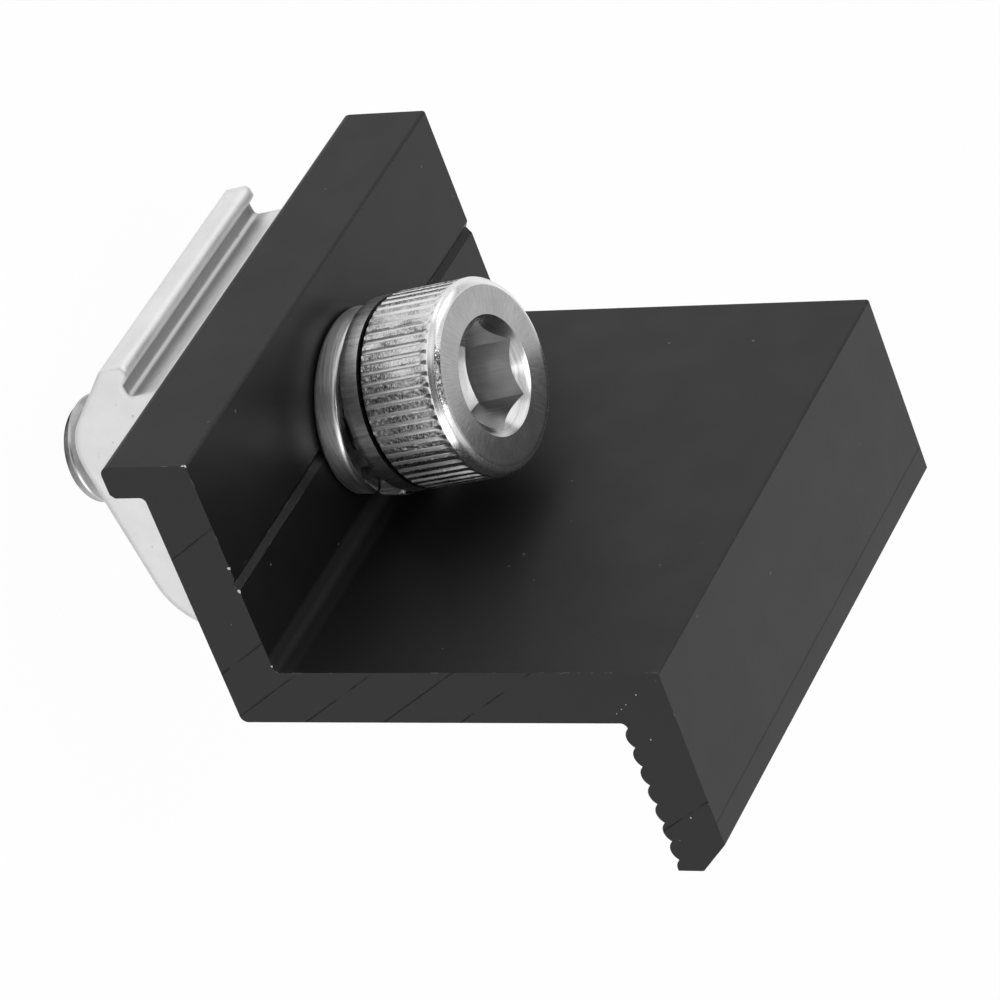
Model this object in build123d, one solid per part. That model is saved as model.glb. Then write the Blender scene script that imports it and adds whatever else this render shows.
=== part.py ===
from build123d import *
import os
from math import cos, pi, radians, sin, tan

# Solar end clamp, in millimetres. Z points away from the rail, X from the flange's free end towards the
# module, and Y along the extrusion. The origin is on the rail face, under the middle of the screw's hole.

# Clamp body: one extrusion with a heel foot, a flange, a web and a lip that grips the module
body_length = 40.0
body_height = 35.4
flange_depth = 17.35
flange_thickness = 4.2
foot_height = 2.55
foot_width = 2.55
foot_outer_round = 0.75
foot_inner_bevel = 0.3
foot_root_round = 0.4
web_thickness = 4.25
corner_round = 0.5
edge_round = 0.2
lip_reach = 12.6
lip_thickness = 3.8
lip_bevel = 2.3
lip_tip_round = 0.25

# Grip under the lip: a row of round ribs with sharp notches between them
rib_pitch = 1.6
rib_depth = 0.38
first_rib_gap = 0.45
grip_root_round = 0.42

# Drill guide: a shallow V groove along the flange's upper face, to the free end's side of the screw's middle
guide_from_web = 7.45
guide_width = 1.0
guide_depth = 0.28

# Screw: a socket head cap screw that leans towards the free end, because the split washer lifts one side
screw_diameter = 8.0
screw_length = 26.45
screw_lean = 9.2
screw_off_middle = 0.34
screw_hole_clearance = 0.5
tip_bevel = 0.4
head_height = 7.95
head_radius = 6.8
rim_radius = 6.7
rim_height = 1.33
rim_edge = 0.15
neck_height = 0.25
neck_radius = 6.3
knurl_count = 57
knurl_depth = 0.3
knurl_run_out = 0.2
crown_height = 0.9
crown_step = 0.15
crown_round = 0.5
socket_across_flats = 6.6
socket_depth = 4.1
socket_drill_depth = 0.9
socket_mouth_radius = 4.12
socket_turn = 4.0

# Split washer: flat for most of a turn, then climbing to its raised end
washer_thickness = 1.95
washer_width = 1.95
washer_rise = 1.8
washer_bore_clearance = 0.5
washer_shift = 0.35
washer_edge_bevel = 0.3
washer_split_angle = -49.0
washer_flat_turn = 160.0
washer_split_gap = 0.25

# Rail nut: a short length of extrusion, with a boss between two grooves, hooked edges and sloping flanks
nut_length = 20.8
nut_height = 9.46
nut_half_width = 12.37
boss_half_width = 10.0
groove_depth = 2.54
groove_floor = 0.95
hook_run = 0.55
hook_height = 0.71
flank_start = 3.75
flank_angle = 48.5
nut_bottom_round = 5.0
nut_small_round = 0.2
hook_round = 0.35

# Gaps between the pieces
seat_gap = 0.03
thread_clearance = 0.05
washer_to_web = 0.7

# How round stock stands on the plane it is drawn on
UPRIGHT = (Align.CENTER, Align.CENTER, Align.MIN)

# Places worked out from the sizes above
screw_radius = screw_diameter / 2
washer_inner = screw_radius + washer_bore_clearance
washer_outer = washer_inner + washer_width
web_inner = washer_outer - washer_shift + washer_to_web
free_end = web_inner - flange_depth
web_outer = web_inner + web_thickness
lip_tip = web_outer + lip_reach
flange_bottom = foot_height
flange_top = foot_height + flange_thickness
near_end = -body_length / 2 - screw_off_middle
notch_level = body_height - lip_thickness
lean = radians(screw_lean)
pivot = Vector(0, 0, foot_height + flange_thickness / 2)
split = radians(washer_split_angle)
raised_top = flange_top + seat_gap + washer_thickness + washer_rise
raised_edge_x = washer_inner * cos(split) - washer_shift
head_seat = (raised_top - pivot.Z) * cos(lean) - raised_edge_x * sin(lean) + seat_gap
boss_seat = (flange_thickness / 2 + seat_gap + boss_half_width * sin(lean)) / cos(lean)


def box_face(x_low, x_high, z_low, z_high):
    """A rectangle of the clamp's section, given by its sides."""
    middle = ((x_low + x_high) / 2, (z_low + z_high) / 2)
    return Pos(*middle) * Rectangle(x_high - x_low, z_high - z_low)


def corner(section, x, z):
    """The corner of a section that lies nearest to a point."""
    return section.vertices().sort_by_distance((x, z, 0))[0]


def grip_ribs():
    """Circles whose lower arcs make the ribs under the lip."""
    radius = ((rib_pitch / 2) ** 2 + rib_depth ** 2) / (2 * rib_depth)
    first = web_outer + first_rib_gap + rib_pitch / 2
    count = int((lip_tip - first) / rib_pitch) + 1
    ribs = Sketch()
    for index in range(count):
        ribs += Pos(first + index * rib_pitch, notch_level - rib_depth + radius) * Circle(radius)
    return ribs


def guide_notch():
    """The drill guide's V, open at the flange's upper face."""
    middle = web_inner - guide_from_web
    left = (middle - guide_width / 2, flange_top)
    right = (middle + guide_width / 2, flange_top)
    return make_face(Polyline(left, (middle, flange_top - guide_depth), right, close=True))


def clamp_section():
    """The extrusion's section, with x towards the module and y away from the rail."""
    section = box_face(free_end, web_outer, flange_bottom, flange_top)
    section += box_face(free_end, free_end + foot_width, 0, flange_top)
    section += box_face(web_inner, web_outer, flange_bottom, body_height)
    section += box_face(web_inner, lip_tip, notch_level, body_height)
    section += grip_ribs()
    section &= box_face(free_end, lip_tip, 0, body_height)
    section -= guide_notch()
    section = chamfer(corner(section, lip_tip, body_height), lip_bevel)
    section = fillet(corner(section, lip_tip, body_height - lip_bevel), lip_tip_round)
    section = fillet(corner(section, free_end, 0), foot_outer_round)
    section = chamfer(corner(section, free_end + foot_width, 0), foot_inner_bevel)
    section = fillet(corner(section, free_end + foot_width, flange_bottom), foot_root_round)
    section = fillet(corner(section, free_end, flange_top), edge_round)
    section = fillet(corner(section, web_inner, flange_top), corner_round)
    section = fillet(corner(section, web_outer, flange_bottom), corner_round)
    section = fillet(corner(section, web_inner, body_height), edge_round)
    section = fillet(corner(section, web_outer, notch_level), grip_root_round)
    return section


def clamp_body():
    """The extrusion cut to length, with one hole through the flange."""
    end_plane = Plane(origin=(0, near_end, 0), x_dir=(1, 0, 0), z_dir=(0, -1, 0))
    body = extrude(end_plane * clamp_section(), amount=-body_length)
    hole = Pos(0, 0, pivot.Z) * Cylinder(screw_radius + screw_hole_clearance, 2 * flange_thickness)
    return body - hole


def leaning(shape):
    """Place a shape drawn about the upright Z axis on the leaning screw's axis."""
    return Pos(*pivot) * Rot(0, -screw_lean, 0) * shape


def knurl_ring(height):
    """A toothed prism, with one narrow valley beside each flat-topped ridge."""
    root = head_radius - knurl_depth
    points = []
    for index in range(knurl_count):
        start = 360 / knurl_count * index
        for share, radius in ((0.0, root), (0.3, head_radius), (0.7, head_radius)):
            angle = radians(start + share * 360 / knurl_count)
            points.append((radius * cos(angle), radius * sin(angle)))
    return extrude(make_face(Polyline(*points, close=True)), amount=height)


def head_envelope():
    """The head's turned outline: plain rim, neck, knurled band with run-outs, and rounded crown."""
    knurl_start = rim_height + neck_height
    knurl_end = head_height - crown_height
    crown_radius = head_radius - crown_step
    with BuildSketch(Plane.XZ) as outline:
        with BuildLine():
            Polyline(
                (0, 0),
                (rim_radius - rim_edge, 0),
                (rim_radius, rim_edge),
                (rim_radius, rim_height - rim_edge),
                (rim_radius - rim_edge, rim_height),
                (neck_radius, rim_height),
                (neck_radius, knurl_start),
                (head_radius, knurl_start + knurl_run_out),
                (head_radius, knurl_end),
                (crown_radius, knurl_end + crown_step),
                (crown_radius, head_height),
                (0, head_height),
                close=True,
            )
        make_face()
        fillet(corner(outline.sketch, crown_radius, head_height), crown_round)
    return revolve(outline.sketch, Axis.Z)


def screw_head():
    """The knurled head with its hexagon socket, standing on the XY plane."""
    root = head_radius - knurl_depth
    knurl_start = rim_height + neck_height
    knurl_end = head_height - crown_height
    band = Pos(0, 0, knurl_start) * knurl_ring(knurl_end - knurl_start)
    plain = Cylinder(head_radius, head_height - knurl_end, align=UPRIGHT)
    foot = Cylinder(head_radius, knurl_start, align=UPRIGHT)
    core = Cylinder(root, head_height, align=UPRIGHT)
    return (core + foot + band + Pos(0, 0, knurl_end) * plain) & head_envelope()


def socket():
    """The hexagon socket with its drilled floor and its mouth bevelled at 45 degrees, as a cutter."""
    flat_radius = socket_across_flats / 2
    hexagon = Rot(0, 0, 30 + socket_turn) * RegularPolygon(flat_radius, 6, major_radius=False)
    cutter = Pos(0, 0, head_height - socket_depth) * extrude(hexagon, amount=socket_depth)
    drill = Cone(0.0, flat_radius, socket_drill_depth, align=UPRIGHT)
    cutter += Pos(0, 0, head_height - socket_depth - socket_drill_depth) * drill
    bevel_depth = socket_mouth_radius - flat_radius
    bevel = Cone(flat_radius, socket_mouth_radius, bevel_depth, align=UPRIGHT)
    cutter += Pos(0, 0, head_height - bevel_depth) * bevel
    return cutter


def cap_screw():
    """The screw on its leaning axis, seated on the washer's raised end."""
    shank = Pos(0, 0, -screw_length) * Cylinder(screw_radius, screw_length, align=UPRIGHT)
    shank = chamfer(shank.edges().group_by(Axis.Z)[0], tip_bevel)
    screw = shank + screw_head() - socket()
    return leaning(Pos(0, 0, head_seat) * screw)


def washer_section(radius):
    """The washer's section at the split, in a plane through its axis, with its outer edges eased."""
    plane = Plane(origin=(radius, 0, 0), x_dir=(1, 0, 0), z_dir=(0, -1, 0))
    section = Rectangle(washer_width, washer_thickness)
    section = chamfer(section.vertices().group_by(Axis.X)[-1], washer_edge_bevel)
    return plane * section


def spring_washer():
    """The split washer: a flat stretch of ring, and a ramp that climbs to the raised end."""
    middle = (washer_inner + washer_outer) / 2
    gap_turn = washer_split_gap / middle * 180 / pi
    ramp_turn = 360 - washer_flat_turn - gap_turn
    flat = revolve(washer_section(middle), Axis.Z, revolution_arc=-washer_flat_turn)
    pitch = washer_rise * 360 / ramp_turn
    path = Helix(pitch, washer_rise, middle, lefthand=True)
    ramp = sweep(washer_section(middle), path, is_frenet=True)
    ring = flat + Rot(0, 0, -washer_flat_turn) * ramp
    place = Pos(-washer_shift, 0, flange_top + seat_gap + washer_thickness / 2)
    return place * Rot(0, 0, washer_split_angle) * ring


def nut_section():
    """The nut's section: x across it, y up towards the flange, 0 at the top of the boss."""
    flank_drop = nut_height - flank_start
    bottom_half = nut_half_width - flank_drop * tan(radians(90 - flank_angle))
    floor_end = boss_half_width + groove_floor
    hook_top = -groove_depth + hook_height
    half = [
        (boss_half_width, 0),
        (boss_half_width, -groove_depth),
        (floor_end, -groove_depth),
        (floor_end + hook_run, hook_top),
        (nut_half_width, hook_top),
        (nut_half_width, -flank_start),
        (bottom_half, -nut_height),
    ]
    mirrored = [(-x, y) for x, y in reversed(half)]
    section = make_face(Polyline(*half, *mirrored, close=True))
    for side in (1, -1):
        section = fillet(corner(section, side * boss_half_width, 0), nut_small_round)
        section = fillet(corner(section, side * boss_half_width, -groove_depth), hook_round)
        section = fillet(corner(section, side * (floor_end + hook_run), hook_top), nut_small_round)
        section = fillet(corner(section, side * nut_half_width, hook_top), hook_round)
        section = fillet(corner(section, side * nut_half_width, -flank_start), nut_small_round)
        section = fillet(corner(section, side * bottom_half, -nut_height), nut_bottom_round)
    return section


def rail_nut():
    """The nut on the screw's axis, with its boss against the flange."""
    end_plane = Plane(origin=(0, -nut_length / 2, 0), x_dir=(1, 0, 0), z_dir=(0, -1, 0))
    block = extrude(end_plane * nut_section(), amount=-nut_length)
    bore = Cylinder(screw_radius + thread_clearance, 3 * nut_height)
    return leaning(Pos(0, 0, -boss_seat) * (block - bore))


pieces = {
    "clamp_body": clamp_body(),
    "cap_screw": cap_screw(),
    "spring_washer": spring_washer(),
    "rail_nut": rail_nut(),
}
os.makedirs("parts", exist_ok=True)
for name, shape in pieces.items():
    export_step(shape, f"parts/{name}.step")
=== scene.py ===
"""Solar end clamp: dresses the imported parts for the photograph's view.

Lengths are in millimetres, and MM turns them into Blender's metres.
"""
import math

import bmesh
import bpy
from mathutils import Matrix, Vector, noise


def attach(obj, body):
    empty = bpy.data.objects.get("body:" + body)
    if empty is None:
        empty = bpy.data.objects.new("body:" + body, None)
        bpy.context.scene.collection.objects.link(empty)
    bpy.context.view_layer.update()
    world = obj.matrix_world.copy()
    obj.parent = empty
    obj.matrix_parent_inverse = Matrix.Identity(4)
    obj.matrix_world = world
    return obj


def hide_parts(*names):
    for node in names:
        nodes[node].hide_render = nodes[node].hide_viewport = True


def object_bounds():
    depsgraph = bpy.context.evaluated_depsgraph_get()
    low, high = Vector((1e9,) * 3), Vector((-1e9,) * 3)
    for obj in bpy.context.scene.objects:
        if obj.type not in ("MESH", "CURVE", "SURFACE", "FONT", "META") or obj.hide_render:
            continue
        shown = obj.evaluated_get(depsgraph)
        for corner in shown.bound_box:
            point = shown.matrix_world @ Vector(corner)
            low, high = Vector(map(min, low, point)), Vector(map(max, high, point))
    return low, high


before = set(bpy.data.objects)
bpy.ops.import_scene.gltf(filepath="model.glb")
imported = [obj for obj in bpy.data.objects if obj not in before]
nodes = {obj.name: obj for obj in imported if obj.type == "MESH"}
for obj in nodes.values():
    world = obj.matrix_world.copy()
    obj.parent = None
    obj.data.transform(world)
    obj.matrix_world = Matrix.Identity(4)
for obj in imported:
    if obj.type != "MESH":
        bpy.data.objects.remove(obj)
cad_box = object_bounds()
scene = bpy.context.scene
MM = 0.001

# The screw's leaning axis and its places along it, as in the solids
LEAN = math.radians(9.2)
AXIS = Vector((-math.sin(LEAN), 0, math.cos(LEAN)))
SIDE = Vector((math.cos(LEAN), 0, math.sin(LEAN)))
ALONG_BODY = Vector((0, 1, 0))
PIVOT = Vector((0, 0, 4.65))
HEAD_SEAT = 5.418
HEAD_HEIGHT = 7.95
HEAD_TOP = HEAD_SEAT + HEAD_HEIGHT
SCREW_LENGTH = 26.45
SHANK_END = HEAD_SEAT - SCREW_LENGTH

# Numbers of the screw's and the washer's materials, in the order of their lists
KNURL, FACE, SOCKET, MOUTH, THREAD, RIM, NECK, CROWN, FLOOR = range(9)
WIRE, CUT, BURR = range(3)

# Head, as (height over the seat, radius): a plain rim with a broken lower edge, a narrow neck, and over the
# knurl a crown that tapers a little and rounds into the face
RIM_RADIUS = 6.7
RIM_ROWS = [(0.0, 3.9), (0.0, 5.2), (0.0, RIM_RADIUS - 0.12), (0.05, RIM_RADIUS - 0.03)]
RIM_ROWS += [(height, RIM_RADIUS) for height in (0.12, 0.5, 1.0, 1.4)]
NECK_RADIUS = 6.33
NECK_END = 1.58
NECK_ROWS = [(1.5, NECK_RADIUS), (NECK_END, NECK_RADIUS)]
KNURL_END = 7.28
CROWN_ROWS = [
    (KNURL_END + 0.08, 6.77), (7.42, 6.71), (7.58, 6.64), (7.7, 6.56),
    (7.79, 6.46), (7.86, 6.35), (7.91, 6.24), (HEAD_HEIGHT, 6.16),
]

# Knurl: ridges with rough tops, and smooth valleys of a share of the pitch that run out at the crown
TEETH = 57
TOOTH_COLUMNS = 12
COLUMNS = TEETH * TOOTH_COLUMNS
TURNS = [2 * math.pi * column / COLUMNS for column in range(COLUMNS)]
CREST_RADIUS = 6.8
KNURL_DEPTH = 0.24
VALLEY_SHARE = 0.5
RUN_OUT = 0.7
KNURL_ROWS = (2.04, KNURL_END, 40)

# Shoulder, where the knurl comes out from the neck: its height, its curve, its rows, and the share of it
# painted dark as shade, as the neck is.
# Rows that are evenly spaced are given as (first, last, count)
SHOULDER = 0.3
SHOULDER_CURVE = 0.7
SHOULDER_ROWS = (NECK_END + 0.05, NECK_END + 0.35, 6)
SHOULDER_PAINTED_SHADE = 0.4

# Pits in the ridges' tops: how deep, down to which share of the knurl, and where they fade under the crown
TOP_ROUGHNESS = 0.03
TOP_SHARE = 0.4
TOP_FADE = 0.5
PIT_STRETCH = 1.4
PIT_SCALE = 5.5
FINE_PIT_SCALE = 11.0
FINE_PIT_SHARE = 0.6

# Face and socket: a hexagon with a mouth bevelled at 45 degrees, and a floor that dips to a drilled middle
FACE_RADII = (5.9, 5.2, 4.5, 4.15)
FLAT_RADIUS = 3.3
CORNER_RADIUS = FLAT_RADIUS / math.cos(math.radians(30))
SOCKET_TURN = math.radians(4)
MOUTH_RADIUS = 4.12
MOUTH_SINK = 0.02
MOUTH_SHARES = (0.0, 0.35, 0.7, 1.0)
WALL_DEPTHS = (1.2, 2.2, 3.2, 3.8)
SOCKET_DEPTH = 4.1
FLOOR_SLOPE = 0.7
DRILL_DEPTH = 0.9
DRILL_ROWS = [(3.1, 0.5), (1.5, 0.8), (0.05, 1.0)]

# Thread: M8 x 1.25, with the crest's and the flank's shares of half a pitch
PITCH = 1.25
THREAD_RADIUS = 3.99
THREAD_DEPTH = 0.76
THREAD_CREST = 0.14
THREAD_FLANK = 0.66
THREAD_COLUMNS = 72
THREAD_STEPS = 10
THREAD_SINK = 0.05
TIP_BEVEL = 0.4

# Split washer: flat from the split for a part of the turn, then a ramp to its raised end. Turns are degrees
WASHER_INNER = 4.5
WASHER_SIZE = 1.95
WASHER_MIDDLE = WASHER_INNER + WASHER_SIZE / 2
WASHER_RISE = 1.8
WASHER_SHIFT = 0.35
WASHER_BASE = 6.78
WASHER_SPLIT = -49.0
WASHER_FLAT_TURN = 160.0
WASHER_GAP_TURN = 2.62
WASHER_TURN = 360 - WASHER_GAP_TURN
WASHER_RAMP_TURN = WASHER_TURN - WASHER_FLAT_TURN
WASHER_EASE_TURN = 6
WASHER_TILT = math.atan(WASHER_RISE / math.radians(WASHER_RAMP_TURN) / WASHER_MIDDLE)
WASHER_ROUND = 0.42
WASHER_CHAMFER = 0.1
WASHER_STEPS = 150

# Burr on the washer's raised end: it starts a little inside the wire's outer top corner and curls over it.
# Its thickness swells and thins again, and starts a lead's share of the way along
BURR_ROWS = 7
BURR_SIDES = 6
BURR_INSET = 0.42
BURR_SINK = 0.02
BURR_REACH = 0.4
BURR_CURL = 1.6
BURR_THICKNESS = 0.12
BURR_LEAST = 0.02
BURR_LEAD = 0.12
BURR_STRETCH = 1.6
BURR_JAG = 0.16
BURR_JAG_SCALE = 11
BURR_OUT = 0.05

# The crown's rough stretch: its middle and reach in the screw's frame, and its lowest height over the seat
DARK_PATCH_PLACE = (-3.9, -5.2, 13.2)
DARK_PATCH_REACH = 1.9
DARK_PATCH_HEIGHT = 7.72

# Rail nut, in the screw's frame: the boss's top, and its grooves' sides, reach and depth
NUT_TOP = -3.777
NUT_EDGE_ROUND = 0.7
GROOVE_SIDE = 9.96
GROOVE_REACH = 11.5
GROOVE_DEPTH = 2.58

# Nut's finish: its greys and roughness, its nicks, and painted shade in the grooves, given as how much of its
# grey
# the grooves keep: less from one depth to another, with other shares on slopes and beds, which are told by
# how much they face up
NUT_GREYS = (0.84, 0.92)
NUT_ROUGH = (0.46, 0.56)
NICK_RARITY = 0.75
NICK_COVER = 0.4
NICK_GREY = 0.3
GROOVE_SHADE_FADE = (1.1, 1.9)
GROOVE_SHADE_KEEPS = (1.0, 0.55)
SLOPE_FACING = (0.15, 0.5)
SLOPE_SHADE_KEEPS = 0.85
BED_FACING = (0.85, 0.99)
BED_SHADE_KEEPS = 0.5

# Chips on the near cut face, as (x, z, radius): bare metal at corners, and a few nicks
NEAR_END = -20.34
CHIPS = [
    (-10.57, 6.5, 0.1), (-10.56, 6.72, 0.14), (-10.55, 6.92, 0.09), (-2.06, 6.68, 0.12),
    (-0.12, 6.72, 0.11), (-0.04, 6.79, 0.09), (6.25, 6.74, 0.07), (10.23, 31.24, 0.05),
    (9.86, 31.7, 0.04), (9.48, 32.15, 0.05), (8.64, 33.17, 0.05), (12.41, 32.97, 0.06),
    (19.04, 33.67, 0.07),
]

# Saw marks across the cut faces: the direction across them, their places along it and their width, and a
# noise's span over which they break, with what is left of them at its ends
SAW_ACROSS = (0.848, 0, 0.53)
SAW_LINES = (-1.03, 7.2, 10.3, 13.34, 16.51, 19.6, 33.7)
SAW_LINE_WIDTH = 0.1
SAW_BREAKS = (0.38, 0.52)
SAW_KEEPS = (0.15, 1.0)

# The corner between flange and web, where the finish is duller: its middle (x, z), and where that fades
DULL_CORNER = (6.5, 7.1)
DULL_FADE = (0.75, 1.25)

# The fine line along the lip's upper face, and where it fades
LIP_LINE_X = 19.48
LIP_LINE_FADE = (0.04, 0.11)

# Specks and rubbed edges of the black finish
SPECK_CELLS = 620
SPECK_RADIUS = 0.07
SPECK_RARITY = 0.66
RUBBED_RADIUS = 0.12
RUBBED_BEND = 0.97
RUBBED_RARITY = 0.6

# Black finish: its greys, how far specks and rubbed edges cover it, its gloss, and what marks add to its
# roughness
DRAWN_GREY = 0.0055
CUT_GREY = 0.0045
SPECK_GREY = 0.25
SPECK_COVER = 0.35
RUBBED_GREY = 0.3
RUBBED_COVER = 0.3
CHIP_GREY = 0.62
SATIN = (0.34, 0.4)
SATIN_SPECULAR = 0.38
UPRIGHT_DULLS = 0.1
LIP_LINE_DULLS = 0.2
CORNER_DULLS = 0.4
SAW_LINE_DULLS = 0.65

# Materials in general: a face looks a way when its normal's share of that way is over FACING, most of a
# noise lies in NOISE_SPAN, and grains are how fast the noise varies along x, y and z
FACING = 0.9
NOISE_SPAN = (0.3, 0.7)
FALLING = (1.0, 0.0)
DRAWN_GRAIN = (2400, 45, 2400)
SAWN_GRAIN = (1500, 1500, 1500)
NUT_GRAIN = (2600, 90, 2600)
FINE_RELIEF = 0.03 * MM
GRAIN_RELIEF = 0.05 * MM
PIT_RELIEF = 0.06 * MM

# Steel: the weights of its lines and its cloud, their span from dark to light, the spread of its roughness,
# and how far a face turns up before it is polished
LINE_WEIGHT = 0.7
CLOUD_WEIGHT = 0.3
STEEL_SPAN = (0.35, 0.65)
STEEL_SPREAD = 0.05
POLISH_FACING = (0.3, 0.8)

# Knurl and crown: the greys of smooth metal and of the rough places, a noise's span for the second, and their
# roughness. On the ridges' tops the rough places' dark grey is partly their mottle and partly painted shade.
# The ridges' rough tops also thin out over a noise's span, down to a share
VALLEY_GREY = 0.92
VALLEY_EDGE = 0.14
TOP_MOTTLE_AND_SHADE_GREYS = (0.07, 0.66)
TOP_SPAN = (0.42, 0.6)
TOP_BREAKS = (0.4, 0.6)
TOP_KEEPS = (0.35, 1.0)
KNURL_ROUGH = (0.28, 0.3)
CROWN_GREY = 0.9
DARK_PATCH_GREYS = (0.03, 0.32)
DARK_PATCH_SPAN = (0.42, 0.62)
CROWN_ROUGH = (0.2, 0.3)

# Floor: its reach in metres, its gap under the object and its grey, and its strengths, where 1 is white
FLOOR_REACH = 4.0
FLOOR_GAP = 0.4
FLOOR_GREY = 0.88
FLOOR_SEEN_WHITE = 0.97
FLOOR_MIRRORED_WHITE = 0.5

# World: its strengths as light, to the camera and at the top of reflections, and where that top fades in
WORLD_LIGHT = 0.45
WORLD_SEEN_WHITE = 1.0
WORLD_TOP = 0.7
WORLD_TOP_FADE = (0.1, 0.55)

# The world's dark sides in reflections: each its direction, its edge's fade as cosines, and its strength
DARK_SIDES = [((-0.53, -0.69, 0.49), (0.86, 0.95), 0.12), ((-0.74, 0.6, 0.3), (0.7, 0.92), 0.45)]

# Lamps: name, direction from the object, distance and size in metres, and power
LAMPS = [
    ("key", (-0.3, -0.2, 1.0), 0.9, 0.6, 2.6),
    ("fill", (-0.8, 0.6, 0.5), 1.0, 0.8, 2.0),
    ("front", (0.4, -1.0, 0.5), 1.1, 0.8, 2.2),
]

# The photograph's view, from a fit of the clamp's corners
CAMERA_PLACE = Matrix((
    (0.31347, -0.78611, -0.53270, -0.21211),
    (0.37753, 0.61790, -0.68969, -0.28520),
    (0.87132, 0.01509, 0.49048, 0.21719),
    (0, 0, 0, 1),
))


def grey(level):
    return (level, level, level, 1)


def spaced(first, last, count):
    """Evenly spaced numbers from first to last."""
    return [first + (last - first) * i / (count - 1) for i in range(count)]


def clamped(value):
    """The value, held between 0 and 1."""
    return min(1.0, max(0.0, value))


def from_crest(share):
    """How far a share of a pitch lies from the nearest crest: 0 on it, 1 midway between two."""
    return abs((share + 0.5) % 1.0 - 0.5) * 2


class Builder:
    """Short ways to add shader nodes: each gives back the output socket that matters."""

    def __init__(self, tree):
        self.tree = tree

    def node(self, kind, **settings):
        made = self.tree.nodes.new("ShaderNode" + kind)
        for key, value in settings.items():
            setattr(made, key, value)
        return made

    def feed(self, socket, value):
        """Join a socket to an output, or set it to a number or a vector."""
        if isinstance(value, bpy.types.NodeSocket):
            self.tree.links.new(value, socket)
        else:
            socket.default_value = value

    def math(self, operation, *values):
        made = self.node("Math", operation=operation)
        for socket, value in zip(made.inputs, values):
            self.feed(socket, value)
        return made.outputs[0]

    def fold(self, operation, values):
        """Join values two by two from the left, as a sum or a product does."""
        result, *others = values
        for other in others:
            result = self.math(operation, result, other)
        return result

    def product(self, *values):
        return self.fold("MULTIPLY", values)

    def total(self, *values):
        return self.fold("ADD", values)

    def less(self, first, second):
        return self.math("SUBTRACT", first, second)

    def size(self, value):
        return self.math("ABSOLUTE", value)

    def above(self, value, limit):
        """1 where a value is over a limit, and 0 elsewhere."""
        return self.math("GREATER_THAN", value, limit)

    def under(self, value, limit):
        """1 where a value is under a limit, and 0 elsewhere."""
        return self.math("LESS_THAN", value, limit)

    def vector(self, operation, *values):
        made = self.node("VectorMath", operation=operation)
        for socket, value in zip(made.inputs, values):
            self.feed(socket, value)
        scalar = operation in ("DOT_PRODUCT", "DISTANCE")
        return made.outputs["Value" if scalar else "Vector"]

    def scaled(self, vector, factors):
        return self.vector("MULTIPLY", vector, factors)

    def towards(self, way):
        """How much the surface faces a way, as its normal's share of it."""
        return self.vector("DOT_PRODUCT", self.place("Normal"), tuple(way))

    def split(self, vector):
        """A vector's x, y and z."""
        made = self.node("SeparateXYZ")
        self.feed(made.inputs[0], vector)
        return made.outputs

    def noise(self, vector, scale=1.0, detail=3.0, roughness=0.6):
        made = self.node("TexNoise")
        self.feed(made.inputs["Vector"], vector)
        made.inputs["Scale"].default_value = scale
        made.inputs["Detail"].default_value = detail
        made.inputs["Roughness"].default_value = roughness
        return made.outputs[0]

    def ramp(self, value, span, result=(0.0, 1.0)):
        """Map a value from a span to a pair of results, and hold it beyond them."""
        made = self.node("MapRange")
        for socket, part in zip(made.inputs, (value, *span, *result)):
            self.feed(socket, part)
        return made.outputs[0]

    def blend(self, share, first, second):
        """Mix two colours by a share."""
        made = self.node("Mix", data_type="RGBA")
        self.feed(made.inputs[0], share)
        self.feed(made.inputs[6], first)
        self.feed(made.inputs[7], second)
        return made.outputs[2]

    def greys(self, share, dark, light):
        return self.blend(share, grey(dark), grey(light))

    def mix_shaders(self, share, first, second):
        made = self.node("MixShader")
        for socket, part in zip(made.inputs, (share, first, second)):
            self.feed(socket, part)
        return made.outputs[0]

    def bevel(self, samples, radius):
        """The normal as it would be with the edges rounded."""
        made = self.node("Bevel", samples=samples)
        made.inputs["Radius"].default_value = radius
        return made.outputs[0]

    def bump(self, height, strength, distance, normal=None):
        made = self.node("Bump")
        made.inputs["Strength"].default_value = strength
        made.inputs["Distance"].default_value = distance
        self.feed(made.inputs["Height"], height)
        if normal is not None:
            self.feed(made.inputs["Normal"], normal)
        return made.outputs[0]

    def place(self, output="Object"):
        return self.node("TexCoord").outputs[output]

    def on_screw(self):
        """The shading point in the screw's frame, in metres: x and y across the axis, z along it."""
        offset = self.vector("SUBTRACT", self.place(), tuple(PIVOT * MM))
        parts = [self.vector("DOT_PRODUCT", offset, tuple(way)) for way in (SIDE, ALONG_BODY, AXIS)]
        joined = self.node("CombineXYZ")
        for socket, part in zip(joined.inputs, parts):
            self.feed(socket, part)
        return joined.outputs[0], parts


def new_material(name):
    """A material with a principled shader, and short ways to add and join nodes."""
    mat = bpy.data.materials.new(name)
    mat.use_nodes = True
    tree = mat.node_tree
    shader = next(n for n in tree.nodes if n.type == "BSDF_PRINCIPLED")
    return mat, shader, Builder(tree)


def new_metal(name):
    """A material of bare metal."""
    mat, shader, make = new_material(name)
    shader.inputs["Metallic"].default_value = 1.0
    return mat, shader, make


def chipped(make, place):
    """Where bare metal shows at the chips, with ragged outlines."""
    jagged = make.noise(place, scale=4500, detail=2.0, roughness=0.7)
    chips = []
    for x, z, radius in CHIPS:
        away = make.vector("DISTANCE", place, (x * MM, NEAR_END * MM, z * MM))
        chips.append(make.under(away, make.product(jagged, 2 * radius * MM)))
    return make.fold("MAXIMUM", chips)


def specked(make, place):
    """A few tiny specks all over."""
    cells = make.node("TexVoronoi")
    make.feed(cells.inputs["Vector"], place)
    cells.inputs["Scale"].default_value = SPECK_CELLS
    few = make.above(make.noise(place, scale=700, detail=0.0), SPECK_RARITY)
    return make.product(make.under(cells.outputs["Distance"], SPECK_RADIUS), few)


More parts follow.
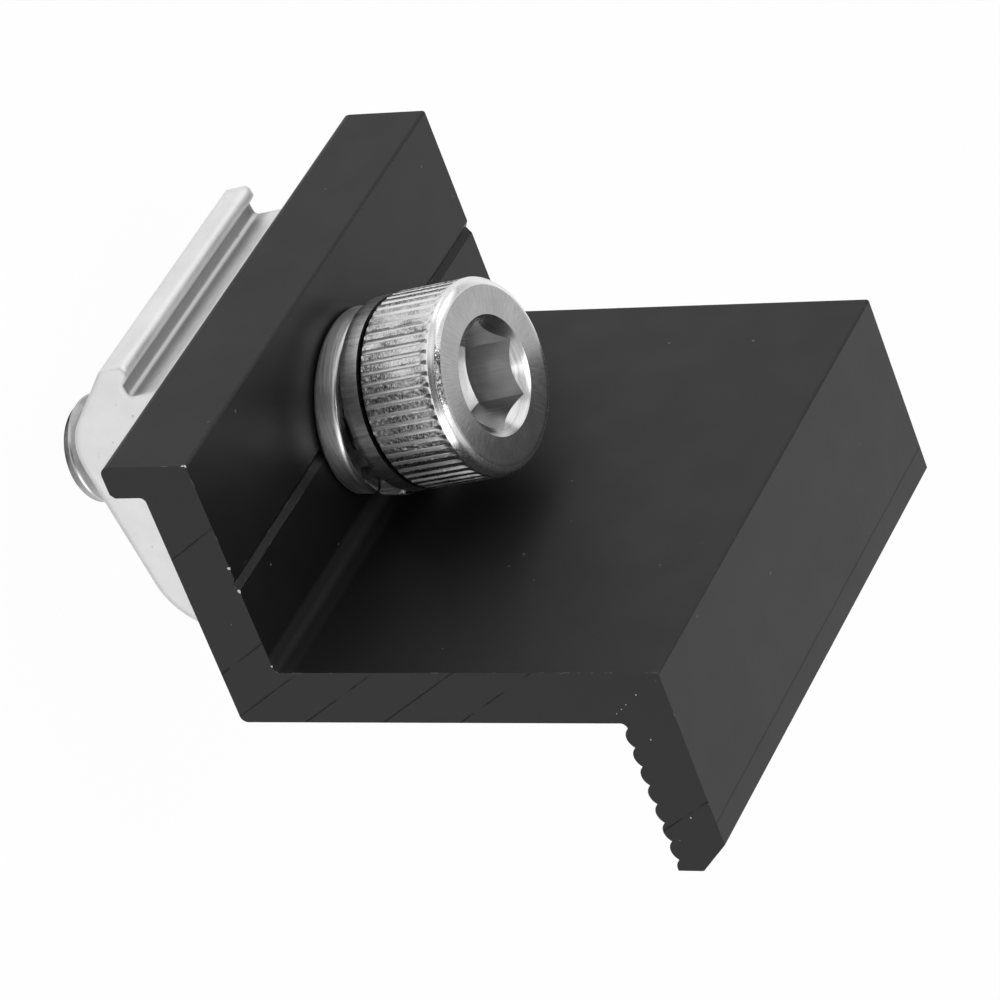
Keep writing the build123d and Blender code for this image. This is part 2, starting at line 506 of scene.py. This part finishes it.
def rubbed(make, place):
    """Stretches of the edges where the finish is rubbed thin."""
    true_normal = make.node("NewGeometry").outputs["Normal"]
    bend = make.vector("DOT_PRODUCT", make.bevel(samples=3, radius=RUBBED_RADIUS * MM), true_normal)
    few = make.above(make.noise(place, scale=1100), RUBBED_RARITY)
    return make.product(make.under(bend, RUBBED_BEND), few)


def lip_line(make, place, upward):
    """The fine line along the lip's upper face."""
    away = make.size(make.less(make.split(place)[0], LIP_LINE_X * MM))
    line = make.ramp(away, [part * MM for part in LIP_LINE_FADE], FALLING)
    return make.product(line, make.above(upward, FACING))


def saw_marks(make, place, cut):
    """Broken lines across the cut faces."""
    across = make.vector("DOT_PRODUCT", place, SAW_ACROSS)
    lines = []
    for at in SAW_LINES:
        away = make.size(make.less(across, at * MM))
        lines.append(make.ramp(away, (0.0, SAW_LINE_WIDTH * MM), FALLING))
    broken = make.ramp(make.noise(place, scale=380, detail=2.0), SAW_BREAKS, SAW_KEEPS)
    return make.product(make.fold("MAXIMUM", lines), broken, cut)


def dull_corner(make, place, cut):
    """The duller finish along the corner between flange and web."""
    x, z = DULL_CORNER
    away = make.vector("DISTANCE", make.scaled(place, (1, 0, 1)), (x * MM, 0, z * MM))
    near = make.ramp(away, [part * MM for part in DULL_FADE], FALLING)
    return make.product(near, make.less(1.0, cut))


def anodised():
    """Black anodised extrusion: satin, drawn along its length, with sawn ends and chipped corners."""
    mat, shader, make = new_material("black_anodised_look")
    place = make.place()
    sideways, lengthwise, upward = make.split(make.place("Normal"))
    cut = make.above(make.size(lengthwise), FACING)

    base = make.blend(cut, grey(DRAWN_GREY), grey(CUT_GREY))
    base = make.blend(make.product(specked(make, place), SPECK_COVER), base, grey(SPECK_GREY))
    base = make.blend(make.product(rubbed(make, place), RUBBED_COVER), base, grey(RUBBED_GREY))
    base = make.blend(chipped(make, place), base, grey(CHIP_GREY))
    make.feed(shader.inputs["Base Color"], base)

    rough = make.total(
        make.ramp(make.noise(place, scale=260), NOISE_SPAN, SATIN),
        make.product(make.above(make.size(sideways), FACING), UPRIGHT_DULLS),
        make.product(lip_line(make, place, upward), LIP_LINE_DULLS),
        make.product(dull_corner(make, place, cut), CORNER_DULLS),
        make.product(saw_marks(make, place, cut), SAW_LINE_DULLS),
    )
    make.feed(shader.inputs["Roughness"], rough)
    shader.inputs["Specular IOR Level"].default_value = SATIN_SPECULAR

    drawn = make.noise(make.scaled(place, DRAWN_GRAIN))
    sawn = make.noise(make.scaled(place, SAWN_GRAIN), detail=2.0)
    streaks = make.bump(drawn, strength=0.05, distance=GRAIN_RELIEF)
    relief = make.bump(sawn, strength=0.05, distance=GRAIN_RELIEF, normal=streaks)
    make.feed(shader.inputs["Normal"], relief)
    return mat


def nut_metal():
    """Mill-finish aluminium: pale, with a few nicks, painted shade in the grooves, and edges that look
    rounded off.
    """
    mat, shader, make = new_metal("nut_look")
    place = make.place()
    across, _, height = make.on_screw()[1]
    cloud = make.noise(place, scale=330, detail=4.0)
    nicks = make.above(make.noise(make.scaled(place, (1, 0.6, 1)), scale=1500, detail=2.0), NICK_RARITY)
    colour = make.greys(make.ramp(cloud, NOISE_SPAN), *NUT_GREYS)
    colour = make.blend(make.product(nicks, NICK_COVER), colour, grey(NICK_GREY))

    # Painted shade in the grooves: their grey darkens with depth, and by how much a face turns up.
    sideways = make.size(across)
    depth = make.less(NUT_TOP * MM, height)
    inside = make.product(
        make.above(sideways, GROOVE_SIDE * MM),
        make.under(sideways, GROOVE_REACH * MM),
        make.under(depth, GROOVE_DEPTH * MM),
        make.under(make.size(make.towards(ALONG_BODY)), 0.5),
    )
    upward = make.towards(AXIS)
    share = make.ramp(depth, [part * MM for part in GROOVE_SHADE_FADE], GROOVE_SHADE_KEEPS)
    share = make.ramp(upward, SLOPE_FACING, (share, SLOPE_SHADE_KEEPS))
    share = make.ramp(upward, BED_FACING, (share, BED_SHADE_KEEPS))
    share = make.less(1.0, make.product(inside, make.less(1.0, share)))
    make.feed(shader.inputs["Base Color"], make.scaled(colour, share))

    make.feed(shader.inputs["Roughness"], make.ramp(cloud, NOISE_SPAN, NUT_ROUGH))
    drawn = make.noise(make.scaled(place, NUT_GRAIN))
    rounded = make.bevel(samples=6, radius=NUT_EDGE_ROUND * MM)
    relief = make.bump(drawn, strength=0.06, distance=GRAIN_RELIEF, normal=rounded)
    make.feed(shader.inputs["Normal"], relief)
    return mat


def steel(name, dark, light, rough, streak, strength, polish=None):
    """Bright stainless steel: streak gives the grain, and polish the roughness where it faces up."""
    mat, shader, make = new_metal(name)
    vector = make.on_screw()[0]
    lines = make.noise(streak(make, vector), detail=4.0)
    cloud = make.noise(vector, scale=500)
    mixed = make.total(make.product(lines, LINE_WEIGHT), make.product(cloud, CLOUD_WEIGHT))
    make.feed(shader.inputs["Base Color"], make.greys(make.ramp(mixed, STEEL_SPAN), dark, light))
    finish = make.ramp(mixed, NOISE_SPAN, (rough - STEEL_SPREAD, rough + STEEL_SPREAD))
    if polish is not None:
        finish = make.ramp(make.towards((0, 0, 1)), POLISH_FACING, (finish, polish))
    make.feed(shader.inputs["Roughness"], finish)
    make.feed(shader.inputs["Normal"], make.bump(lines, strength, FINE_RELIEF))
    return mat


def along(make, vector):
    """Long fine lines along the axis."""
    return make.scaled(vector, (5200, 5200, 260))


def lengthways(make, vector):
    """Shorter lines along the axis."""
    return make.scaled(vector, (3800, 3800, 500))


def around(make, vector):
    """Fine turned lines round the axis."""
    return make.scaled(vector, (160, 160, 6000))


def outward(make, vector):
    """Streaks that run out from the axis: the direction varies fast and the radius slowly."""
    ring = make.vector("NORMALIZE", make.scaled(vector, (1, 1, 0)))
    return make.vector("ADD", make.scaled(ring, (60, 60, 60)), make.scaled(vector, (900, 900, 0)))


def knurl_metal():
    """The knurled band: smooth bright valleys, and ridges whose tops are mottled and rough, with painted
    shade darkening their grey.
    """
    mat, shader, make = new_metal("screw_knurl_look")
    vector, (across, lengthwise, height) = make.on_screw()
    pitches = make.product(make.math("ARCTAN2", lengthwise, across), TEETH / (2 * math.pi))
    share = make.math("FRACT", make.total(pitches, 0.5))
    off_crest = make.product(make.size(make.less(share, 0.5)), 2.0)
    on_top = make.ramp(off_crest, (1 - VALLEY_SHARE, 1 - VALLEY_SHARE + VALLEY_EDGE), FALLING)
    band_end = HEAD_SEAT + KNURL_END
    below = make.ramp(height, ((band_end - TOP_FADE) * MM, band_end * MM), FALLING)
    broken = make.ramp(make.noise(vector, scale=420, detail=2.0), TOP_BREAKS, TOP_KEEPS)
    patch = make.product(on_top, below, broken)

    mottle = make.noise(make.scaled(vector, (1, 1, 1.6)), scale=5200, roughness=0.7)
    # Painted shade: the ridges' mottled tops are given a grey far below the valleys'.
    top = make.greys(make.ramp(mottle, TOP_SPAN), *TOP_MOTTLE_AND_SHADE_GREYS)
    make.feed(shader.inputs["Base Color"], make.blend(patch, grey(VALLEY_GREY), top))
    make.feed(shader.inputs["Roughness"], make.ramp(patch, (0.0, 1.0), KNURL_ROUGH))
    relief = make.bump(make.product(mottle, patch), strength=0.4, distance=PIT_RELIEF)
    make.feed(shader.inputs["Normal"], relief)
    return mat


def crown_metal():
    """The head's crown: bright, with a rough dark stretch at one place."""
    mat, shader, make = new_metal("screw_crown_look")
    vector, (_, _, height) = make.on_screw()
    mottle = make.noise(make.scaled(vector, (1, 1, 1.4)), scale=4200, roughness=0.7)
    away = make.vector("DISTANCE", vector, tuple(part * MM for part in DARK_PATCH_PLACE))
    near = make.under(away, make.product(mottle, 2 * DARK_PATCH_REACH * MM))
    dark_patch = make.product(near, make.above(height, (HEAD_SEAT + DARK_PATCH_HEIGHT) * MM))
    dark = make.greys(make.ramp(mottle, DARK_PATCH_SPAN), *DARK_PATCH_GREYS)
    make.feed(shader.inputs["Base Color"], make.blend(dark_patch, grey(CROWN_GREY), dark))
    make.feed(shader.inputs["Roughness"], make.ramp(mottle, NOISE_SPAN, CROWN_ROUGH))
    relief = make.bump(make.product(mottle, dark_patch), strength=0.6, distance=PIT_RELIEF)
    make.feed(shader.inputs["Normal"], relief)
    return mat


def on_axis(height, radius, angle):
    """The point at a height along the screw's axis, a radius and an angle, in metres."""
    across = SIDE * (radius * math.cos(angle)) + ALONG_BODY * (radius * math.sin(angle))
    return (PIVOT + AXIS * height + across) * MM


def circle(height, radius):
    """Points all round the screw's axis at one height and one radius."""
    return [on_axis(height, radius, a) for a in TURNS]


def join_rings(verts, faces, marks, rings, closed=True):
    """Skin a list of (material number, ring of points) with quads."""
    base = len(verts)
    count = len(rings[0][1])
    for _, points in rings:
        verts.extend(points)
    for row in range(len(rings) - 1):
        for column in range(count if closed else count - 1):
            a = base + row * count + column
            b = base + row * count + (column + 1) % count
            faces.append((a, b, b + count, a + count))
            marks.append(rings[row + 1][0])


def cap_ends(verts, faces, marks, base, count, mark):
    """Close both ends of a tube whose points start at base, with count of them in each ring."""
    for first, order in ((base, 1), (len(verts) - count, -1)):
        faces.append(tuple(range(first, first + count))[::order])
        marks.append(mark)


def knurl_radius(height, angle):
    """The knurled band's radius: ridges with rough tops, and valleys that run out at the crown."""
    off_crest = from_crest(angle * TEETH / (2 * math.pi))
    drop = KNURL_DEPTH * max(0.0, 1 - (1 - off_crest) / VALLEY_SHARE)
    deepest = KNURL_DEPTH * clamped((KNURL_END - height) / RUN_OUT)
    where = Vector((math.cos(angle) * CREST_RADIUS, math.sin(angle) * CREST_RADIUS, height * PIT_STRETCH))
    pits = noise.noise(where * PIT_SCALE) + FINE_PIT_SHARE * noise.noise(where * FINE_PIT_SCALE)
    top = max(0.0, 1 - drop / (TOP_SHARE * KNURL_DEPTH)) * clamped((KNURL_END - height) / TOP_FADE)
    return CREST_RADIUS - min(drop, deepest) - TOP_ROUGHNESS * top * (1 + pits)


def hex_radius(angle):
    """The distance from the axis to the hexagon's side at an angle."""
    step = math.radians(60)
    local = (angle - SOCKET_TURN + step / 2) % step - step / 2
    return FLAT_RADIUS / math.cos(local)


def head_side():
    """The rings of the head's outside, from its seat up to the face's edge."""
    rings = [(RIM, circle(HEAD_SEAT + height, radius)) for height, radius in RIM_ROWS]
    rings += [(NECK, circle(HEAD_SEAT + height, radius)) for height, radius in NECK_ROWS]
    for height in spaced(*SHOULDER_ROWS) + spaced(*KNURL_ROWS):
        rise = min(1.0, (height - NECK_END) / SHOULDER)
        cap = NECK_RADIUS + (CREST_RADIUS - NECK_RADIUS) * rise ** SHOULDER_CURVE
        points = [on_axis(HEAD_SEAT + height, min(cap, knurl_radius(height, a)), a) for a in TURNS]
        # The shoulder's lowest rows take the neck's painted shade.
        rings.append((NECK if rise < SHOULDER_PAINTED_SHADE else KNURL, points))
    return rings + [(CROWN, circle(HEAD_SEAT + height, radius)) for height, radius in CROWN_ROWS]


def head_socket():
    """The rings of the face and the socket, from the face's edge in to the middle of the drilled floor."""
    rings = [(FACE, circle(HEAD_TOP, radius)) for radius in FACE_RADII]
    for share in MOUTH_SHARES:
        points = []
        for a in TURNS:
            radius = MOUTH_RADIUS + (hex_radius(a) - MOUTH_RADIUS) * share
            points.append(on_axis(HEAD_TOP - (MOUTH_RADIUS - radius) - MOUTH_SINK, radius, a))
        rings.append((MOUTH, points))
    for depth in WALL_DEPTHS:
        rings.append((SOCKET, [on_axis(HEAD_TOP - depth, hex_radius(a), a) for a in TURNS]))
    points = []
    for a in TURNS:
        depth = SOCKET_DEPTH + FLOOR_SLOPE * (CORNER_RADIUS - hex_radius(a))
        points.append(on_axis(HEAD_TOP - depth, hex_radius(a), a))
    rings.append((SOCKET, points))
    for radius, share in DRILL_ROWS:
        rings.append((FLOOR, circle(HEAD_TOP - (SOCKET_DEPTH + DRILL_DEPTH * share), radius)))
    return rings


def build_head(verts, faces, marks):
    """The knurled head with its hexagon socket."""
    join_rings(verts, faces, marks, head_side() + head_socket())


def thread_radius(height, share):
    """The thread's radius at a height along the axis and a share of its pitch, with the tip's bevel."""
    depth = clamped((from_crest(share) - THREAD_CREST) / THREAD_FLANK)
    bevelled = THREAD_RADIUS - TIP_BEVEL + (height - SHANK_END)
    return min(THREAD_RADIUS - THREAD_DEPTH * depth, bevelled)


def build_thread(verts, faces, marks):
    """The threaded shank: rows of points that follow the thread's helix, from the tip up into the head."""
    turns = int((HEAD_SEAT - SHANK_END) / PITCH) + 2
    angles = [2 * math.pi * column / THREAD_COLUMNS for column in range(THREAD_COLUMNS + 1)]
    rows = []
    for row in range(turns * THREAD_STEPS + 1):
        line = []
        for column, angle in enumerate(angles):
            climbed = SHANK_END - PITCH + PITCH * (row / THREAD_STEPS + column / THREAD_COLUMNS)
            height = min(max(climbed, SHANK_END), HEAD_SEAT + THREAD_SINK)
            line.append(on_axis(height, thread_radius(height, row / THREAD_STEPS), angle))
        rows.append((THREAD, line))
    join_rings(verts, faces, marks, rows, closed=False)
    centre = len(verts)
    verts.append(on_axis(SHANK_END, 0, 0))
    for column in range(THREAD_COLUMNS):
        verts.append(on_axis(SHANK_END, THREAD_RADIUS - TIP_BEVEL, angles[column]))
        faces.append((centre, centre + 1 + (column + 1) % THREAD_COLUMNS, centre + 1 + column))
        marks.append(FACE)


def washer_profile():
    """The washer's section: radial distance from the middle, and height. Its outer edges are rounded."""
    half = WASHER_SIZE / 2
    inner = half - WASHER_CHAMFER
    turns = [math.radians(turn) for turn in range(0, 91, 15)]
    points = [(-half, -inner), (-inner, -half), (0, -half)]
    for a in turns:
        points.append((half - WASHER_ROUND * (1 - math.sin(a)), -half + WASHER_ROUND * (1 - math.cos(a))))
    points.append((half, 0))
    for a in turns:
        points.append((half - WASHER_ROUND * (1 - math.cos(a)), half - WASHER_ROUND * (1 - math.sin(a))))
    return points + [(0, half), (-inner, half), (-half, inner), (-half, 0)]


def washer_frame(turned):
    """The washer's wire after a turn from its split: its centre, and the ways out, up and onwards."""
    beyond = turned - WASHER_FLAT_TURN
    angle = math.radians(WASHER_SPLIT - turned)
    lean = WASHER_TILT * clamped(beyond / WASHER_EASE_TURN)
    out = Vector((math.cos(angle), math.sin(angle), 0))
    way = Vector((math.sin(angle), -math.cos(angle), 0))
    up = Vector((0, 0, math.cos(lean))) - way * math.sin(lean)
    lift = WASHER_RISE * max(0.0, beyond) / WASHER_RAMP_TURN
    centre = Vector((-WASHER_SHIFT, 0, WASHER_BASE + WASHER_SIZE / 2 + lift)) + out * WASHER_MIDDLE
    return centre, out, up, way


def build_washer(verts, faces, marks):
    """The split ring, from the low end at the split round to the raised end."""
    profile = washer_profile()
    rings = []
    for step in range(WASHER_STEPS + 1):
        centre, out, up, _ = washer_frame(WASHER_TURN * step / WASHER_STEPS)
        rings.append((WIRE, [(centre + out * x + up * z) * MM for x, z in profile]))
    base = len(verts)
    join_rings(verts, faces, marks, rings)
    cap_ends(verts, faces, marks, base, len(profile), CUT)


def build_burr(verts, faces, marks):
    """A torn sliver of metal on the outer top corner of the washer's raised end."""
    centre, out, up, way = washer_frame(WASHER_TURN)
    half = WASHER_SIZE / 2
    rings = []
    for share in spaced(0.0, 1.0, BURR_ROWS):
        jag = BURR_JAG * noise.noise(Vector((share * BURR_JAG_SCALE, 0.3, 0.7))) + BURR_OUT
        outwards = half - BURR_INSET + BURR_REACH * share + jag
        upwards = half - BURR_SINK - BURR_REACH * share ** BURR_CURL + jag
        thick = BURR_THICKNESS * math.sin(math.pi * min(1.0, share + BURR_LEAD)) + BURR_LEAST
        middle = centre + out * outwards + up * upwards - way * BURR_SINK
        points = []
        for turn in range(BURR_SIDES):
            a = math.radians(360 / BURR_SIDES * turn)
            offset = (out + up) * (thick * math.cos(a)) + way * (BURR_STRETCH * thick * math.sin(a))
            points.append((middle + offset) * MM)
        rings.append((BURR, points))
    base = len(verts)
    join_rings(verts, faces, marks, rings)
    cap_ends(verts, faces, marks, base, BURR_SIDES, BURR)


def make_piece(name, materials, *builders, sharp):
    """A mesh object from builders that fill lists of points, faces and material numbers."""
    verts, faces, marks = [], [], []
    for build in builders:
        build(verts, faces, marks)
    mesh = bpy.data.meshes.new(name)
    mesh.from_pydata(verts, [], faces)
    for mat in materials:
        mesh.materials.append(mat)
    mesh.polygons.foreach_set("material_index", marks)
    work = bmesh.new()
    work.from_mesh(mesh)
    bmesh.ops.remove_doubles(work, verts=work.verts, dist=1e-7)
    bmesh.ops.dissolve_degenerate(work, edges=work.edges, dist=1e-7)
    bmesh.ops.recalc_face_normals(work, faces=work.faces)
    work.to_mesh(mesh)
    work.free()
    mesh.set_sharp_from_angle(angle=math.radians(sharp))
    mesh.polygons.foreach_set("use_smooth", [True] * len(mesh.polygons))
    mesh.update()
    piece = bpy.data.objects.new(name, mesh)
    scene.collection.objects.link(piece)
    return piece


def dress(node, mat):
    """Give a solid's material slots their look."""
    for slot in nodes[node].material_slots:
        slot.material = mat


def make_floor():
    """A pale floor that keeps a soft shadow, and shows as the photograph's white to the camera."""
    level = cad_box[0][2] - FLOOR_GAP * MM
    corners = [(-FLOOR_REACH, -FLOOR_REACH), (FLOOR_REACH, -FLOOR_REACH)]
    corners += [(-x, -y) for x, y in corners]
    mesh = bpy.data.meshes.new("floor")
    mesh.from_pydata([(x, y, level) for x, y in corners], [], [(0, 1, 2, 3)])
    made = bpy.data.objects.new("floor", mesh)
    scene.collection.objects.link(made)

    mat, shader, make = new_material("floor_look")
    shader.inputs["Base Color"].default_value = grey(FLOOR_GREY)
    shader.inputs["Roughness"].default_value = 0.9
    rays = make.node("LightPath").outputs
    mirrored = make.math("MAXIMUM", rays["Is Glossy Ray"], rays["Is Transmission Ray"])
    mirrored = make.product(mirrored, FLOOR_MIRRORED_WHITE)
    seen = make.product(rays["Is Camera Ray"], FLOOR_SEEN_WHITE)
    share = make.math("MAXIMUM", seen, mirrored)
    shown = make.mix_shaders(share, shader.outputs[0], make.node("Emission").outputs[0])
    output = next(n for n in mat.node_tree.nodes if n.type == "OUTPUT_MATERIAL")
    make.feed(output.inputs["Surface"], shown)
    mesh.materials.append(mat)
    return made


def make_world():
    """White to the camera, softer as light, and in reflections white with a greyer top and dark sides."""
    world = bpy.data.worlds.new("studio")
    scene.world = world
    world.use_nodes = True
    world.node_tree.nodes.clear()
    make = Builder(world.node_tree)

    def background(strength):
        made = make.node("Background")
        made.inputs["Color"].default_value = grey(1.0)
        make.feed(made.inputs["Strength"], strength)
        return made.outputs[0]

    reflected = make.ramp(make.split(make.place("Generated"))[2], WORLD_TOP_FADE, (1.0, WORLD_TOP))
    for side, edge, strength in DARK_SIDES:
        near = make.vector("DOT_PRODUCT", make.place("Generated"), side)
        reflected = make.product(reflected, make.ramp(near, edge, (1.0, strength)))
    rays = make.node("LightPath").outputs
    mirrored = make.math("MAXIMUM", rays["Is Glossy Ray"], rays["Is Transmission Ray"])
    lit = make.mix_shaders(mirrored, background(WORLD_LIGHT), background(reflected))
    shown = make.mix_shaders(rays["Is Camera Ray"], lit, background(WORLD_SEEN_WHITE))
    make.feed(make.node("OutputWorld").inputs["Surface"], shown)


def add_lamp(name, direction, distance, size, power):
    """A square soft lamp that faces the object from a direction."""
    data = bpy.data.lights.new(name, "AREA")
    data.size = size
    data.energy = power
    lamp = bpy.data.objects.new(name, data)
    scene.collection.objects.link(lamp)
    towards = Vector(direction).normalized()
    lamp.location = towards * distance
    lamp.rotation_euler = towards.to_track_quat("Z", "Y").to_euler()


def add_camera():
    """The photograph's camera."""
    data = bpy.data.cameras.new("camera")
    data.sensor_width = 36
    data.lens = 219.2
    data.shift_x = 0.0021
    data.shift_y = -0.0024
    data.clip_start = 0.01
    data.clip_end = 50
    camera = bpy.data.objects.new("camera", data)
    scene.collection.objects.link(camera)
    camera.matrix_world = CAMERA_PLACE
    scene.camera = camera


dress("clamp_body", anodised())
dress("rail_nut", nut_metal())

screw = make_piece("socket_screw", [
    knurl_metal(),
    steel("screw_face_look", dark=0.45, light=0.65, rough=0.2, streak=outward, strength=0.05),
    steel("screw_socket_look", dark=0.62, light=0.8, rough=0.24, streak=along, strength=0.06),
    steel("screw_mouth_look", dark=0.5, light=0.7, rough=0.24, streak=around, strength=0.1),
    steel("screw_thread_look", dark=0.5, light=0.66, rough=0.24, streak=around, strength=0.1),
    steel("screw_rim_look", dark=0.55, light=0.9, rough=0.3, streak=lengthways, strength=0.2),
    # The neck's near-black grey is painted shade in the groove between rim and knurl.
    steel("screw_neck_shade_look", dark=0.015, light=0.04, rough=0.45, streak=around, strength=0.1),
    crown_metal(),
    steel("screw_floor_look", dark=0.34, light=0.46, rough=0.3, streak=around, strength=0.1),
], build_head, build_thread, sharp=32)
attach(screw, "screw")
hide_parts("cap_screw")

washer = make_piece("split_washer", [
    steel("washer_look", dark=0.55, light=1.0, rough=0.42, streak=around, strength=0.3, polish=0.14),
    steel("washer_cut_look", dark=0.04, light=0.3, rough=0.34, streak=along, strength=0.4),
    steel("washer_burr_look", dark=0.85, light=0.97, rough=0.5, streak=along, strength=0.5),
], build_washer, build_burr, sharp=40)
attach(washer, "clamp")
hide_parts("spring_washer")

floor = make_floor()
make_world()
for lamp_settings in LAMPS:
    add_lamp(*lamp_settings)
add_camera()
scene.view_settings.view_transform = "Standard"
